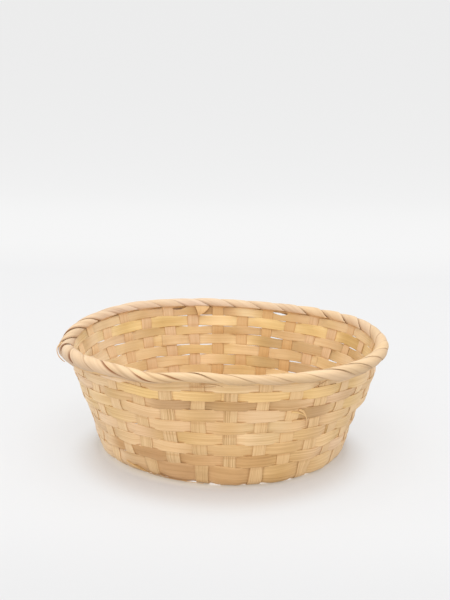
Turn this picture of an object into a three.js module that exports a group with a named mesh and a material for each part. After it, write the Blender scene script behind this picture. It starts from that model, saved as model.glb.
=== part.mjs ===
// A round basket of split bamboo, modelled the way it is plaited.
// Long strips cross in a square mat on the floor, fan out and turn up the wall as stakes.
// Weavers go round the wall row by row, over one stake and under the next.
// At the top every stake goes up inside a hoop, turns aside and is laid slantwise over it,
// and these ends, side by side, make the rolled rim.
// Millimetres, +Z up. The origin is on the floor, under the middle of the base.

import * as THREE from "three";

// Overall form
const RIM_RADIUS = 105.4; // from the basket's axis to the centre of the rim roll
const RIM_HEIGHT = 72; // from the floor to the centre of the rim roll
const FOOT_RADIUS = 75.4; // from the basket's axis to where the stakes leave the floor
const FOOT_BEND = 7; // radius of a stake's bend from the floor into the wall

// Strips
const STAKE_WIDTH = 8.4;
const STAKE_THICKNESS = 0.8;
const ROW_COUNT = 9; // rows of weaving from the foot to the rim
const WEAVER_WIDTH = 7.6; // as split, before the rows are trimmed to fill the wall
const NARROW_WEAVER_WIDTH = 5.9; // the second whole row from the top is a narrower strip
const TOP_WEAVER_WIDTH = 5.3; // the row that the rim roll hides from outside
const WEAVER_THICKNESS = 0.7;

// Spaces between strips
const CLEARANCE = 0.3; // between two strips that lie on each other
const MAT_GAP = 3.6; // between neighbouring strips in the base mat
const MAT_MARGIN = 6; // the mat's corners stay this far inside the foot
const ROW_GAP = 0.35; // between two rows of weaving
const FLAT_MARGIN = 0.4; // a strip stays flat this far past the edge of the strip it crosses
const LAP_MARGIN = 1.5; // a weaver's last end lies flat this much further than its first end

// Rim
const HOOP_RADIUS = 3; // radius of the hoop's own round section
const TAIL_LEAD = 2.4; // the stakes start to turn aside this far below the roll
const TAIL_TURN = 0.8; // radius of a stake's inner edge where it turns aside
const TAIL_GAP = 0.6; // between neighbouring stake ends on the roll
const TAIL_END = THREE.MathUtils.degToRad(-95); // where the stake ends stop, seen round the roll

// Facets
const HOOP_SIDES = 8;
const HOOP_STEPS = 64;
const FOOT_STEPS = 4;
const TAIL_TURN_STEPS = 4;
const TAIL_WRAP_STEPS = 6;

// Colours of the raw strips
const STAKE_BAMBOO = { color: 0xe3c391, roughness: 0.62, metalness: 0 };
const WEAVER_BAMBOO = { color: 0xe6c185, roughness: 0.55, metalness: 0 };
const HOOP_BAMBOO = { color: 0xd6b27c, roughness: 0.65, metalness: 0 };

// Section of the wall
// The middle surface of a stake runs along the floor, round the foot bend, straight up the wall
// and round the roll. The wall is the line that touches the foot bend outside and the roll inside.
const floorLevel = STAKE_THICKNESS / 2;
const rollRadius = HOOP_RADIUS + CLEARANCE + STAKE_THICKNESS / 2;
const footCentre = new THREE.Vector2(FOOT_RADIUS, floorLevel + FOOT_BEND);
const rollCentre = new THREE.Vector2(RIM_RADIUS, RIM_HEIGHT);
const footToRoll = rollCentre.clone().sub(footCentre);
const bothRadii = FOOT_BEND + rollRadius;
const lean = Math.atan2(footToRoll.x, footToRoll.y) - Math.asin(bothRadii / footToRoll.length());
const wallLength = Math.sqrt(footToRoll.lengthSq() - bothRadii ** 2);
const wallUp = new THREE.Vector2(Math.sin(lean), Math.cos(lean));
const wallOut = new THREE.Vector2(Math.cos(lean), -Math.sin(lean));
const wallFoot = footCentre.clone().addScaledVector(wallOut, FOOT_BEND);

// Base mat and stake count
const matPitch = STAKE_WIDTH + MAT_GAP;
const halfMatStrips = Math.floor((FOOT_RADIUS - MAT_MARGIN) / Math.SQRT2 / matPitch);
const stripsEachWay = 2 * halfMatStrips;
const stakeCount = 4 * halfMatStrips * 2;
const stakeStep = (2 * Math.PI) / stakeCount;
const upperLevel = floorLevel + STAKE_THICKNESS + CLEARANCE;
const stakeFlat = STAKE_WIDTH / 2 + FLAT_MARGIN;

// Stake ends round the roll, laid out flat: x runs round the rim, y runs up the wall and over
const tailStart = wallLength - TAIL_LEAD;
const tailRadius = wallFoot.x + tailStart * wallUp.x;
const tailPitch = tailRadius * stakeStep;
const tailSlope = Math.asin((STAKE_WIDTH + TAIL_GAP) / tailPitch);
const tailTurned = Math.PI / 2 - tailSlope;
const tailOuterTurn = TAIL_TURN + STAKE_WIDTH;
const tailPivot = TAIL_TURN + STAKE_WIDTH / 2;
const rollTouch = Math.PI - lean;
const tailLength = TAIL_LEAD + (rollTouch - TAIL_END) * rollRadius;

// A point of the section, with its outward normal, a distance up the wall from the foot bend
function onWall(distance) {
  return { at: wallFoot.clone().addScaledVector(wallUp, distance), out: wallOut };
}

// A point of the section on the foot bend, where turn runs from 0 on the floor to 1 at the wall
function onFoot(turn) {
  const angle = -Math.PI / 2 + turn * (Math.PI / 2 - lean);
  const out = new THREE.Vector2(Math.cos(angle), Math.sin(angle));
  return { at: footCentre.clone().addScaledVector(out, FOOT_BEND), out };
}

// A point of the section on a stake end, a distance past where it starts to turn aside.
// The stake passes inside the hoop, so outward there is the hoop's side.
function onTail(distance) {
  if (distance <= TAIL_LEAD) return onWall(tailStart + distance);
  const angle = rollTouch - (distance - TAIL_LEAD) / rollRadius;
  const away = new THREE.Vector2(Math.cos(angle), Math.sin(angle));
  return { at: rollCentre.clone().addScaledVector(away, rollRadius), out: away.negate() };
}

// Turns a section point into a point of space: angle round the axis, sideways along the tangent
// there, and lift along the outward normal.
function place(section, angle, sideways, lift) {
  const radius = section.at.x + lift * section.out.x;
  const height = section.at.y + lift * section.out.y;
  return new THREE.Vector3(
    radius * Math.cos(angle) - sideways * Math.sin(angle),
    radius * Math.sin(angle) + sideways * Math.cos(angle),
    height,
  );
}

// A flat strip as one closed body. Each cross-section lists the points across its outer face
// and the same points on its inner face.
function stripGeometry(crossSections) {
  const across = crossSections[0].outer.length;
  const ringSize = 2 * across;
  const ring = ({ outer, inner }) => [...outer, ...[...inner].reverse()];
  const points = crossSections.flatMap(ring);
  const faces = [];
  for (let i = 0; i + 1 < crossSections.length; i++) {
    for (let j = 0; j < ringSize; j++) {
      const next = (j + 1) % ringSize;
      const [a, b] = [i * ringSize + j, i * ringSize + next];
      faces.push(a, b, a + ringSize, b, b + ringSize, a + ringSize);
    }
  }
  const last = (crossSections.length - 1) * ringSize;
  for (let j = 0; j + 1 < across; j++) {
    const [p, q, r, s] = [j, j + 1, ringSize - 2 - j, ringSize - 1 - j];
    faces.push(p, s, q, q, s, r);
    faces.push(last + p, last + q, last + s, last + q, last + r, last + s);
  }
  const geometry = new THREE.BufferGeometry().setFromPoints(points).setIndex(faces);
  if (signedVolume(points, faces) < 0) geometry.index.array.reverse();
  geometry.computeVertexNormals();
  return geometry;
}

function signedVolume(points, faces) {
  let sixfold = 0;
  for (let i = 0; i < faces.length; i += 3) {
    const [a, b, c] = [points[faces[i]], points[faces[i + 1]], points[faces[i + 2]]];
    sixfold += a.dot(b.clone().cross(c));
  }
  return sixfold / 6;
}

// A stake's cross-section from its two edges and the point between them, each given as a function
// of the lift along the normal.
function stakeSection(points) {
  const half = STAKE_THICKNESS / 2;
  return { outer: points.map((p) => p(half)), inner: points.map((p) => p(-half)) };
}

const acrossStake = [-STAKE_WIDTH / 2, 0, STAKE_WIDTH / 2];

// A stake's cross-section in the mat: it runs along +X at the given offset and level
function matSection(x, offset, level) {
  return stakeSection(acrossStake.map((y) => (lift) => new THREE.Vector3(x, offset + y, level - lift)));
}

// A stake's cross-section on the foot or the wall, flat across its width
function wallSection(section, angle) {
  return stakeSection(acrossStake.map((y) => (lift) => place(section, angle, y, lift)));
}

// The left and right edges of a stake end at a height y of the flat layout, from its middle line
function tailEdges(y) {
  const turnTop = tailOuterTurn * Math.sin(tailTurned);
  const outerEnd = tailPivot - tailOuterTurn * Math.cos(tailTurned);
  const left =
    y < turnTop
      ? tailPivot - Math.sqrt(tailOuterTurn ** 2 - y ** 2)
      : outerEnd + (y - turnTop) / Math.tan(tailSlope);
  const innerTop = TAIL_TURN * Math.sin(tailTurned);
  const innerEnd = tailPivot - TAIL_TURN * Math.cos(tailTurned);
  const right =
    y < innerTop
      ? tailPivot - Math.sqrt(TAIL_TURN ** 2 - y ** 2)
      : innerEnd + (y - innerTop) / Math.tan(tailSlope);
  return { left, right };
}

function tailSection(y, angle) {
  const section = onTail(y);
  const { left, right } = tailEdges(y);
  const angles = [left, (left + right) / 2, right].map((x) => angle + x / tailRadius);
  return stakeSection(angles.map((turned) => (lift) => place(section, turned, 0, lift)));
}

// The heights in the flat layout at which a stake end gets a cross-section
function tailHeights() {
  const turnTop = tailOuterTurn * Math.sin(tailTurned);
  const innerTop = TAIL_TURN * Math.sin(tailTurned);
  const heights = [innerTop];
  for (let i = 1; i <= TAIL_TURN_STEPS; i++) {
    heights.push(innerTop + ((turnTop - innerTop) * i) / TAIL_TURN_STEPS);
  }
  for (let i = 1; i <= TAIL_WRAP_STEPS; i++) {
    heights.push(turnTop + ((tailLength - turnTop) * i) / TAIL_WRAP_STEPS);
  }
  return heights;
}

// Half of a strip, from the middle of the mat out along +X, up the wall and over the roll
function halfStrip(index) {
  const offset = (index + 0.5 - halfMatStrips) * matPitch;
  const angle = (index + 0.5 - halfMatStrips) * stakeStep;
  const crossSections = [];
  for (let crossing = 0; crossing < halfMatStrips; crossing++) {
    const level = (index + crossing) % 2 === 0 ? floorLevel : upperLevel;
    const x = (crossing + 0.5) * matPitch;
    crossSections.push(matSection(x - stakeFlat, offset, level), matSection(x + stakeFlat, offset, level));
  }
  crossSections.push(matSection(halfMatStrips * matPitch, offset, floorLevel));
  for (let i = 0; i <= FOOT_STEPS; i++) crossSections.push(wallSection(onFoot(i / FOOT_STEPS), angle));
  crossSections.push(wallSection(onWall(tailStart), angle));
  for (const y of tailHeights()) crossSections.push(tailSection(y, angle));
  return crossSections;
}

function turnedAboutAxis(crossSections, angle) {
  const axis = new THREE.Vector3(0, 0, 1);
  const turn = (points) => points.map((p) => p.clone().applyAxisAngle(axis, angle));
  return crossSections.map(({ outer, inner }) => ({ outer: turn(outer), inner: turn(inner) }));
}

// Walking a half strip backwards swaps its left and right edges
function reversed(crossSections) {
  const swap = ({ outer, inner }) => ({ outer: [...outer].reverse(), inner: [...inner].reverse() });
  return crossSections.map(swap).reverse();
}

// A whole strip: two halves that meet in the mat, each ending on the rim
function stakeStrip(index, heading) {
  const near = turnedAboutAxis(halfStrip(index), heading);
  const far = turnedAboutAxis(halfStrip(stripsEachWay - 1 - index), heading + Math.PI);
  return stripGeometry([...reversed(far), ...near]);
}

// Weaving
const weaveLift = (STAKE_THICKNESS + WEAVER_THICKNESS) / 2 + CLEARANCE;
const lapLift = weaveLift + WEAVER_THICKNESS + CLEARANCE;

// The rows from the foot up, each with its width and the height of its middle up the wall.
// The strips are trimmed alike, by what the wall has to spare or lacks, so that the rows fill it.
function weaverRows() {
  const split = Array(ROW_COUNT).fill(WEAVER_WIDTH);
  split[ROW_COUNT - 3] = NARROW_WEAVER_WIDTH;
  split[ROW_COUNT - 1] = TOP_WEAVER_WIDTH;
  const filled = split.reduce((sum, width) => sum + width + ROW_GAP, ROW_GAP);
  const trim = (tailStart - filled) / ROW_COUNT;
  let height = ROW_GAP;
  return split.map((splitWidth) => {
    const width = splitWidth + trim;
    const row = { width, middle: height + width / 2 };
    height += width + ROW_GAP;
    return row;
  });
}

// A weaver's cross-section beside a stake, sideways from it and lifted off the wall's middle
function weaverSection({ width, middle }, stakeAngle, sideways, lift) {
  const [low, high] = [onWall(middle - width / 2), onWall(middle + width / 2)];
  const edges = (level) => [low, high].map((edge) => place(edge, stakeAngle, sideways, level));
  return { outer: edges(lift + WEAVER_THICKNESS / 2), inner: edges(lift - WEAVER_THICKNESS / 2) };
}

// One row: it starts inside a stake, goes once round and laps its own start there
function weaverStrip(row, number) {
  const startsSpread = 7;
  const start = startsSpread * number + ((startsSpread + 1) * number) % 2;
  const crossSections = [];
  for (let step = 0; step <= stakeCount; step++) {
    const stake = start + step;
    const angle = (stake + 0.5) * stakeStep;
    const outside = (stake + number) % 2 === 1;
    const lapped = step === stakeCount;
    const lift = outside ? weaveLift : lapped ? -lapLift : -weaveLift;
    const reach = lapped ? stakeFlat + LAP_MARGIN : stakeFlat;
    crossSections.push(weaverSection(row, angle, -reach, lift), weaverSection(row, angle, reach, lift));
  }
  return stripGeometry(crossSections);
}

// The hoop inside the roll: a round rod bent into a ring
function hoopRing() {
  const profile = [];
  for (let i = 0; i <= HOOP_SIDES; i++) {
    const angle = (2 * Math.PI * i) / HOOP_SIDES;
    const side = new THREE.Vector2(Math.cos(angle), Math.sin(angle));
    profile.push(rollCentre.clone().addScaledVector(side, HOOP_RADIUS));
  }
  return new THREE.LatheGeometry(profile, HOOP_STEPS).rotateX(Math.PI / 2);
}

// Assembly
const basket = new THREE.Group();

function addPiece(name, geometry, finish) {
  const piece = new THREE.Mesh(geometry, new THREE.MeshStandardMaterial(finish));
  piece.name = name;
  basket.add(piece);
}

for (let index = 0; index < stripsEachWay; index++) {
  addPiece(`stake_x_${index + 1}`, stakeStrip(index, 0), STAKE_BAMBOO);
  addPiece(`stake_y_${index + 1}`, stakeStrip(index, Math.PI / 2), STAKE_BAMBOO);
}
weaverRows().forEach((row, i) => addPiece(`weaver_row_${i + 1}`, weaverStrip(row, i + 1), WEAVER_BAMBOO));
addPiece("rim_hoop", hoopRing(), HOOP_BAMBOO);

export default basket;
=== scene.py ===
"""A round basket of split bamboo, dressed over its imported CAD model.

Long strips cross in the base, climb the wall as stakes and end slantwise over a hoop as the rim.
Weavers go round the wall, over one stake and under the next. Lengths are in metres.
Places round the basket are in degrees: 0 is its right, 90 its back and 270 its front.
"""

import math
import random

import bmesh
import bpy
import numpy as np
from mathutils import Matrix, Vector


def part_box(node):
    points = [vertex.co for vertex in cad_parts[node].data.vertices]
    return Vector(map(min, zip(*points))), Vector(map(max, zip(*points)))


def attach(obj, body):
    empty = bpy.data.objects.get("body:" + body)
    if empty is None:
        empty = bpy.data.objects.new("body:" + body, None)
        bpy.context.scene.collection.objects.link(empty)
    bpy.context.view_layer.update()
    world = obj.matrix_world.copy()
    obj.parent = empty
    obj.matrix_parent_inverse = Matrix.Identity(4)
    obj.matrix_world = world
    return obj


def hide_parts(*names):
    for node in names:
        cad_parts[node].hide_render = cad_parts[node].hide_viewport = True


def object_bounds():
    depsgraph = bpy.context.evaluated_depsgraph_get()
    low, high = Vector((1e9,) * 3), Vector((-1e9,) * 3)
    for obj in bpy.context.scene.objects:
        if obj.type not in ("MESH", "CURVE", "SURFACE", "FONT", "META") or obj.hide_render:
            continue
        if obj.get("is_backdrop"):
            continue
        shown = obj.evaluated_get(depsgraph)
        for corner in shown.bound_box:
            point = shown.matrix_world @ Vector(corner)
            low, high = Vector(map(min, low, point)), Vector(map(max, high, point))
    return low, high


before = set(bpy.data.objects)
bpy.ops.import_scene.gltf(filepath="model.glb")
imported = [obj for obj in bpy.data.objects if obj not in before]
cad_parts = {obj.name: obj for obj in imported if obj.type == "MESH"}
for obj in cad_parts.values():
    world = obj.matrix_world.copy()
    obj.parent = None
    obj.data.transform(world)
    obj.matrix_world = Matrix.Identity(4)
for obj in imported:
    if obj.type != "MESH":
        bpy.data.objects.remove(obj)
CAD_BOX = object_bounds()
HOOP_LOW, HOOP_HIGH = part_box("rim_hoop")

bl_info = {
    "name": "Split bamboo basket",
    "version": (1, 0, 0),
    "blender": (4, 5, 0),
    "location": "View3D > Sidebar > Basket",
    "description": "Dresses a round plaited basket: stakes, weavers, rim and a plain studio",
    "category": "Object",
}

MM = 0.001
TINY = 1e-9
HOOP_SECTION = (HOOP_HIGH.z - HOOP_LOW.z) / 2


def length(name, description, default):
    """A length property in metres."""
    return bpy.props.FloatProperty(
        name=name, description=description, default=default, unit="LENGTH", precision=5
    )


def colour(name, description, default):
    """A linear colour property."""
    return bpy.props.FloatVectorProperty(
        name=name, description=description, default=default, subtype="COLOR", min=0, max=1
    )


def in_mm(*places):
    """Places in degrees, or stakes by number, each with a length given in mm and maybe a spread."""
    return tuple((place, size * MM, *spread) for place, size, *spread in places)


class BasketSizes(bpy.types.PropertyGroup):
    """Form of the basket and sizes of its strips."""

    rim_radius: length("Rim radius", "Axis to the centre of the rim roll", HOOP_HIGH.x - HOOP_SECTION)
    rim_height: length("Rim height", "Floor to the centre of the rim roll", (HOOP_LOW.z + HOOP_HIGH.z) / 2)
    hoop_radius: length("Hoop radius", "Half the thickness of the hoop inside the roll", HOOP_SECTION)
    foot_radius: length("Foot radius", "Axis to where the stakes leave the floor", 75.4 * MM)
    foot_bend: length("Foot bend", "Bend radius of the stakes at the foot", 7 * MM)
    stake_width: length("Stake width", "Width of the upright strips", 8.4 * MM)
    stake_thickness: length("Stake thickness", "Thickness of the upright strips", 0.8 * MM)
    weaver_width: length("Weaver width", "Width of an ordinary weaver as split", 7.6 * MM)
    narrow_width: length("Narrow weaver width", "Width of the narrow weaver near the top", 5.9 * MM)
    top_width: length("Top weaver width", "Width of the weaver behind the rim roll", 5.3 * MM)
    row_gap: length("Row gap", "Space between two rows of weaving", 0.35 * MM)
    stake_skin: length("Stake skin", "Thickness of the stakes where they show", 0.45 * MM)
    weaver_skin: length("Weaver skin", "Thickness of the weavers where they show", 0.30 * MM)


class BasketColours(bpy.types.PropertyGroup):
    """Colours of the bamboo and of the studio."""

    straw: colour("Straw", "The usual weaver", (0.82, 0.535, 0.255))
    honey: colour("Honey", "The yellow weaver under the rim", (0.88, 0.585, 0.255))
    toasted: colour("Toasted", "The browner weavers", (0.67, 0.40, 0.185))
    ashen: colour("Ashen", "The greyish narrow weaver", (0.55, 0.338, 0.165))
    pale: colour("Pale", "The outer face of the stakes", (0.80, 0.535, 0.267))
    golden: colour("Golden", "The inner face of the yellower stakes", (0.68, 0.425, 0.185))
    rosy: colour("Rosy", "The inner face of the paler stakes", (0.74, 0.505, 0.295))
    amber: colour("Amber", "A weaver that has browned at the right", (0.62, 0.36, 0.12))
    rim: colour("Rim", "The stake ends on the rim", (0.73, 0.51, 0.30))
    # Painted light: the rim's back and left end are drawn towards this colour where they are lit brighter
    blush: colour("Blush", "The rim where the sun has paled it", (0.70, 0.522, 0.372))
    # Cream also serves as painted light on the brighter sides and as a painted highlight over the top of
    # the roll
    cream: colour("Cream", "Strips that have paled", (0.90, 0.668, 0.41))
    floor: colour("Floor", "The studio floor and backdrop", (0.71, 0.71, 0.72))


# Layout, the same as in the solids
CLEARANCE = 0.3 * MM
MAT_PITCH = 12 * MM
MAT_STRIPS = 8
HALF_MAT = MAT_STRIPS // 2
STAKES = 4 * MAT_STRIPS
STAKE_STEP = 2 * math.pi / STAKES
FLAT_MARGIN = 0.4 * MM
ROWS = 9
NARROW_ROW = 7
LAP_SPREAD = 7
TAIL_LEAD = 2.4 * MM
TAIL_TURN = 0.8 * MM

# Section of a strip, and steps along it
EDGE_ROUNDING = 0.06
FACE_POINTS = 17
CROWN = 0.04 * MM
STEP = 1.2 * MM
TAIL_STEP = 0.35 * MM
FAN_STEPS = 16

# Random draws: the seed, how a drift's waves differ along a strip or round the basket, the grain's shift
SEED = 41
WAVE_HEIGHTS = (0.4, 1.0)
WAVE_SHARES = (1.0, 1.7, 2.9, 4.6)
WAVE_ORDERS = (5, 9, 14, 22)
ORDER_FADE = 9
GRAIN_SHIFTS = (0, 5)

# Colour and grain on the cut edges and on the inner face
EDGE_TINT = np.array([0.90, 0.85, 0.78])
INNER_TINT = np.array([0.955, 1.03, 1.09])
INNER_GRAIN = 0.5

# Stakes: ranges from strip to strip, and size and length of the drifts along a strip
STAKE_WIDTHS = (-0.07, 0.09)
STAKE_WIDTH_DRIFT = (0.03, 60 * MM)
STAKE_SIDE_DRIFT = (0.5 * MM, 70 * MM)
STAKE_EASE = 12 * MM
STAKE_LIFT = 0.14 * MM
STAKE_LIFT_REACH = 0.4
STAKE_FIBRES = (0.15, 0.75)
STAKE_SHADES = (-0.07, 0.07)
STAKE_WARMTHS = (-0.03, 0.03)
INNER_MIXES = (0.1, 1.0)
INNER_MIX_FROM = 0.35
INNER_MIX_RISE = 0.4
# Painted shade where a stake meets the edges between rows: its reach and colour
CREASE_REACH = 0.55 * MM
CREASE_SHADE = np.array([0.12, 0.20, 0.28])

# Single stakes that differ, by their number counted round from the right
LINED_STAKES = {24: 1.15, 22: 0.9}
SHADED_STAKES = {24: 0.95}
# Splits at these stake ends are deeper and hold more painted shade
DEEP_SPLITS = {20: 3.0, 21: 2.2, 27: 2.2, 5: 2.0, 12: 2.0}
# Painted shadow in the seam beside these stake ends, by its depth
DARK_SEAMS = {14: 0.9, 15: 0.7, 16: 1.3, 17: 1, 19: 1.2, 20: 1.2, 21: 1.1, 22: 0.4, 23: 0.8, 25: 1, 28: 1.1}
LIFTED_ENDS = dict(in_mm((26, 1.6), (27, 0.6)))
OPENED_TAILS = dict(in_mm((2, 0.6), (3, 0.8), (4, 0.9), (5, 0.6)))
OPENED_TAILS |= dict(in_mm((13, -0.15), (14, -0.30), (15, -0.55), (16, -0.50), (17, -0.35)))

# Form of the stake ends on the rim, which lie flatter than in the solids
TAIL_SLOPE = math.radians(22.5)
TAIL_LEAVES = math.radians(-62)
TAIL_TUCK = 1.2 * MM
TAIL_LENGTHS = (-1.6 * MM, 0.8 * MM)
TAIL_SHIFT = 2.6 * MM
TAIL_STRAY = 0.7 * MM
TAIL_OVERLAP = 0.8 * MM
TAIL_EDGE_DRIFT = (0.6 * MM, 26 * MM)
TAIL_BULGES = (0.336 * MM, 0.6 * MM)
TAIL_SHINGLES = (0.056 * MM, 0.504 * MM)
TAIL_BEVELS = (1.5 * MM, 3.9 * MM)
TAIL_INWARD = 1.3 * MM
TAIL_THINNED = 0.25
FOLD_FROM = 0.5 * MM
FOLD_RISE = 1.0 * MM
ROLL_PULL = 1.5 * MM
END_REACH = 7 * MM
END_FLATTENED = 0.9
END_THINNED = 0.3

# Splits along the stake ends: how many, and their places, depths, width and the painted shade in them
TAIL_GROOVES = 2
TAIL_GROOVE = 0.12 * MM
GROOVE_PLACES = (0.15, 0.85)
GROOVE_DEPTHS = (0.3, 1.2)
GROOVE_WIDTH = 0.05
GROOVE_SHADE = 0.22
PLAIN_SPLIT = 0.7

# Colour of the stake ends: their tone, a painted highlight over the top of the roll and painted shade below
# it, and painted shadow in the seams between them
TAIL_SHADES = (-0.08, 0.05)
TAIL_WARMTH = np.array([0, 0.02, 0.11])
ROLL_HIGHLIGHT = 0.45
ROLL_HIGHLIGHT_REACH = 2.8 * MM
ROLL_SHADE = 0.06
ROLL_CALM = 0.68
SEAM_SHADE = np.array([0.52, 0.66, 0.74])
SEAM_FROM = 0.76
SEAM_FULL = 0.92
SEAM_LEAST = 0.36
SEAM_MOST = 1.2
SEAM_DEPTHS = (0.3, 0.9)
SEAM_PLACES = (0.45, 0.75)
SEAM_REACHES = (0.12, 0.30)

# Rows: the yellow one, how close they lie, how they drift, and how far the outermost two reach
YELLOW_ROW = 8
ROW_CLOSE = 0.34 * MM
ROW_LOOSE = 0.30 * MM
ROW_STRAY = 0.5 * MM
ROW_RISES = in_mm((262, 1.9, 48))
SLIT = 0.55 * MM
ROW_WIDTH_DRIFT = (0.12 * MM, 40 * MM)
ROW_TILT_DRIFT = (0.16 * MM, 37 * MM)
ROW_TONE_DRIFT = (0.08, 90 * MM)
ROW_WARM_DRIFT = (0.08, 170 * MM)
TONE_SPREAD = np.array([1, 1.2, 2])
WARM_SPREAD = np.array([0, 0, 1])
WEAVE_LIFT = 0.36 * MM
WEAVE_SQUARENESS = 3.0
FOOT_REACH = 6.8 * MM
HEM_DRIFT = (0.9 * MM, 80 * MM)
BACK_HEM = 0.16
BACK_HEM_CALM = 0.8
RIM_REACH = -0.3 * MM
BACK_REACH = 1.3 * MM

# Lap of a row over its own start, in stake steps, and the space between the two ends
LAP = 0.30
LAP_END = 1.4
LAP_RISE = 0.2
LAP_SPACE = 0.1 * MM

# Painted shade in the gaps beside the stakes: its reach, colour and the range of its strength
GAP_REACH = 0.8 * MM
GAP_SHADE = np.array([0.42, 0.52, 0.60])
GAP_RANGE = (-0.35, 0.5)
FOOT_GAP_RANGE = (0.0, 0.9)

# Where a row's colour changes: middle and half width of the patch in degrees, colour, strength
PATCHES = {
    9: (
        # On row 9 the cream at 282 and 322 is painted light under the rim roll, and the toasted at 66, 98
        # and 122 is painted shade under the back of the rim
        (84, 4, "cream", 0.6), (282, 32, "cream", 0.5), (322, 14, "cream", 0.4),
        (98, 10, "toasted", 1.2), (122, 12, "toasted", 0.6), (66, 10, "toasted", 0.6),
        (214, 24, "cream", 0.8), (171, 4, "amber", 0.4),
    ),
    8: (
        (210, 22, "cream", 0.8), (24, 9, "amber", 0.65), (170, 5, "amber", 0.5), (141, 4, "amber", 0.5),
    ),
    7: ((259, 12, "ashen", 0.9), (288, 14, "ashen", 0.5), (26, 6, "amber", 0.5)),
    6: ((288, 8, "cream", 0.35), (308, 6, "ashen", 0.9), (55, 22, "ashen", 0.6)),
    5: ((288, 9, "cream", 0.5), (309, 4, "ashen", 0.5)),
    4: ((289, 10, "cream", 0.5), (60, 18, "ashen", 0.7)),
    2: ((236, 15, "toasted", 1.0), (272, 22, "toasted", 0.9)),
    1: ((264, 22, "toasted", 0.75),),
}
PATCH_EDGE = 5

# Loose ends: name, what they lie on, three points of the route, mm wide and colour
# A point is in degrees round, mm up the wall or up from the roll's outermost line, and mm off it
SLIVERS = (
    ("inner_tip", "wall", (102.8, 69.8, -1.2), (103.2, 65.6, -2.1), (104.6, 61.4, -1.5), 12.5, "pale"),
    ("frayed_end_1", "wall", (300.4, 48.6, 0.6), (304.6, 46.0, 1.6), (305.2, 33.8, 0.7), 1.7, "straw"),
    ("frayed_end_2", "wall", (298.6, 40.6, 0.6), (302.2, 41.6, 1.2), (304.6, 39.8, 0.8), 1.3, "straw"),
    ("frayed_end_3", "wall", (297.6, 47.6, 0.6), (302.0, 47.0, 1.4), (304.4, 41.6, 0.8), 1.2, "honey"),
    ("foot_splinter_1", "wall", (227.0, 2.0, 0.8), (234.0, -2.2, 1.4), (241.0, -1.4, 1.0), 1.0, "honey"),
    ("foot_splinter_2", "wall", (238.0, -3.2, 0.8), (246.0, -4.6, 1.3), (255.0, -4.0, 1.0), 1.0, "pale"),
    ("foot_splinter_3", "wall", (252.0, -4.6, 0.8), (259.0, -3.0, 1.4), (265.0, -4.2, 1.0), 0.9, "honey"),
    ("foot_splinter_4", "wall", (231.0, 0.4, 0.9), (236.5, 1.8, 2.2), (240.0, -2.4, 1.2), 0.9, "amber"),
    ("foot_splinter_5", "wall", (244.0, -1.4, 0.8), (250.0, -3.8, 1.7), (258.0, -2.6, 1.0), 0.8, "toasted"),
    ("rim_curl_1", "roll", (190.0, 5.0, 1.2), (197.0, 1.0, 1.9), (207.0, -3.4, 1.1), 1.6, "pale"),
    # The dark curl below is partly a strand and partly painted shadow along the pale curl's edge
    ("rim_curl_shadow_2", "roll", (194.0, 4.2, 1.3), (200.0, 0.0, 1.9), (206.0, -3.6, 1.4), 0.9, "toasted"),
    # The dark tangles below are partly loose strands and partly painted shadow lines under the rim's lower
    # edge
    ("rim_tangle_shadow_1", "wall", (265.6, 67.0, 1.6), (269.6, 69.8, 2.6), (273.0, 66.6, 1.6), 0.7, "toasted"),
    ("rim_tangle_shadow_2", "wall", (262.0, 65.2, 1.2), (266.0, 65.4, 1.8), (270.6, 66.8, 1.6), 0.6, "toasted"),
    ("rim_tangle_shadow_3", "wall", (303.2, 68.4, 1.4), (305.4, 69.4, 2.4), (308.8, 67.2, 1.4), 0.7, "toasted"),
    ("rim_tangle_shadow_4", "wall", (304.6, 63.0, 1.0), (306.0, 66.0, 2.2), (309.4, 67.6, 1.6), 0.7, "toasted"),
)
SLIVER_THICKNESS = 0.28 * MM
SLIVER_STEPS = 28
SLIVER_TAPER = 1.3
SLIVER_END = 0.995
SLIVER_GRAIN = 12 * MM

# Hoop inside the roll
HOOP_SIDES = 20
HOOP_STEPS = 240
HOOP_DRIFT = (0.12 * MM, 130 * MM)
HOOP_SLACK = 0.3 * MM
HOOP_SHADE = 0.9

# Rise of the rim by hand and use: eased between angles, with sharper dips, and full at a height
RIM_LIFTS = in_mm(
    (5, -0.9), (27, 0.8), (48, -1.1), (80, -1.2), (105, 0.2),
    (135, 1.2), (160, -0.8), (183, -4.8), (208, -1.8), (238, -0.4),
    (260, 0.1), (280, 0.5), (302, -0.8), (325, -0.6), (345, -0.6),
)
RIM_DIPS = in_mm((249, -1.5, 7), (266, 0.9, 8), (190, -1.4, 9))
EASE_SPREAD = 17
LIFT_HEIGHT = 72 * MM
LIFT_POWER = 1.5

# How much slimmer the roll is than the solids' roll, and where the highest row leaves a gap under it
RIM_SLIMS = in_mm(
    (0, 0.3), (30, 0.2), (60, 0.1), (90, 0.1), (120, 0.1), (150, 0.1), (180, 0.1),
    (212, -0.9), (234, -0.3), (255, 1.1), (275, 1.2), (300, 0.9), (335, 0.0),
)
RIM_GAPS = in_mm((113.5, 2.0, 3.5), (67.0, 2.4, 4.5))

# Bulges of the wall under the rim, the swell of single rows, and the flare and tuck of the foot
BULGES = in_mm((-8, 3.6, 22), (196, 1.4, 24))
BULGE_FROM = 34.5 * MM
BULGE_TO = 68 * MM
BULGE_RISE = 5 * MM
BULGE_FALL = 12 * MM
SWELL = 0.8 * MM
SWELL_PITCH = 7.4 * MM
SWELL_FIRST = 0.7
SWELL_REACH = 4.0 * MM
SWELL_TOP = 69 * MM
FOOT_FLARE = 1.0 * MM
FOOT_TUCKS = in_mm((247, 4.4, 28))
FLARE_FROM = 50 * MM
FLARE_RISE = 25 * MM
FLARE_HEIGHT = 13 * MM

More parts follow.
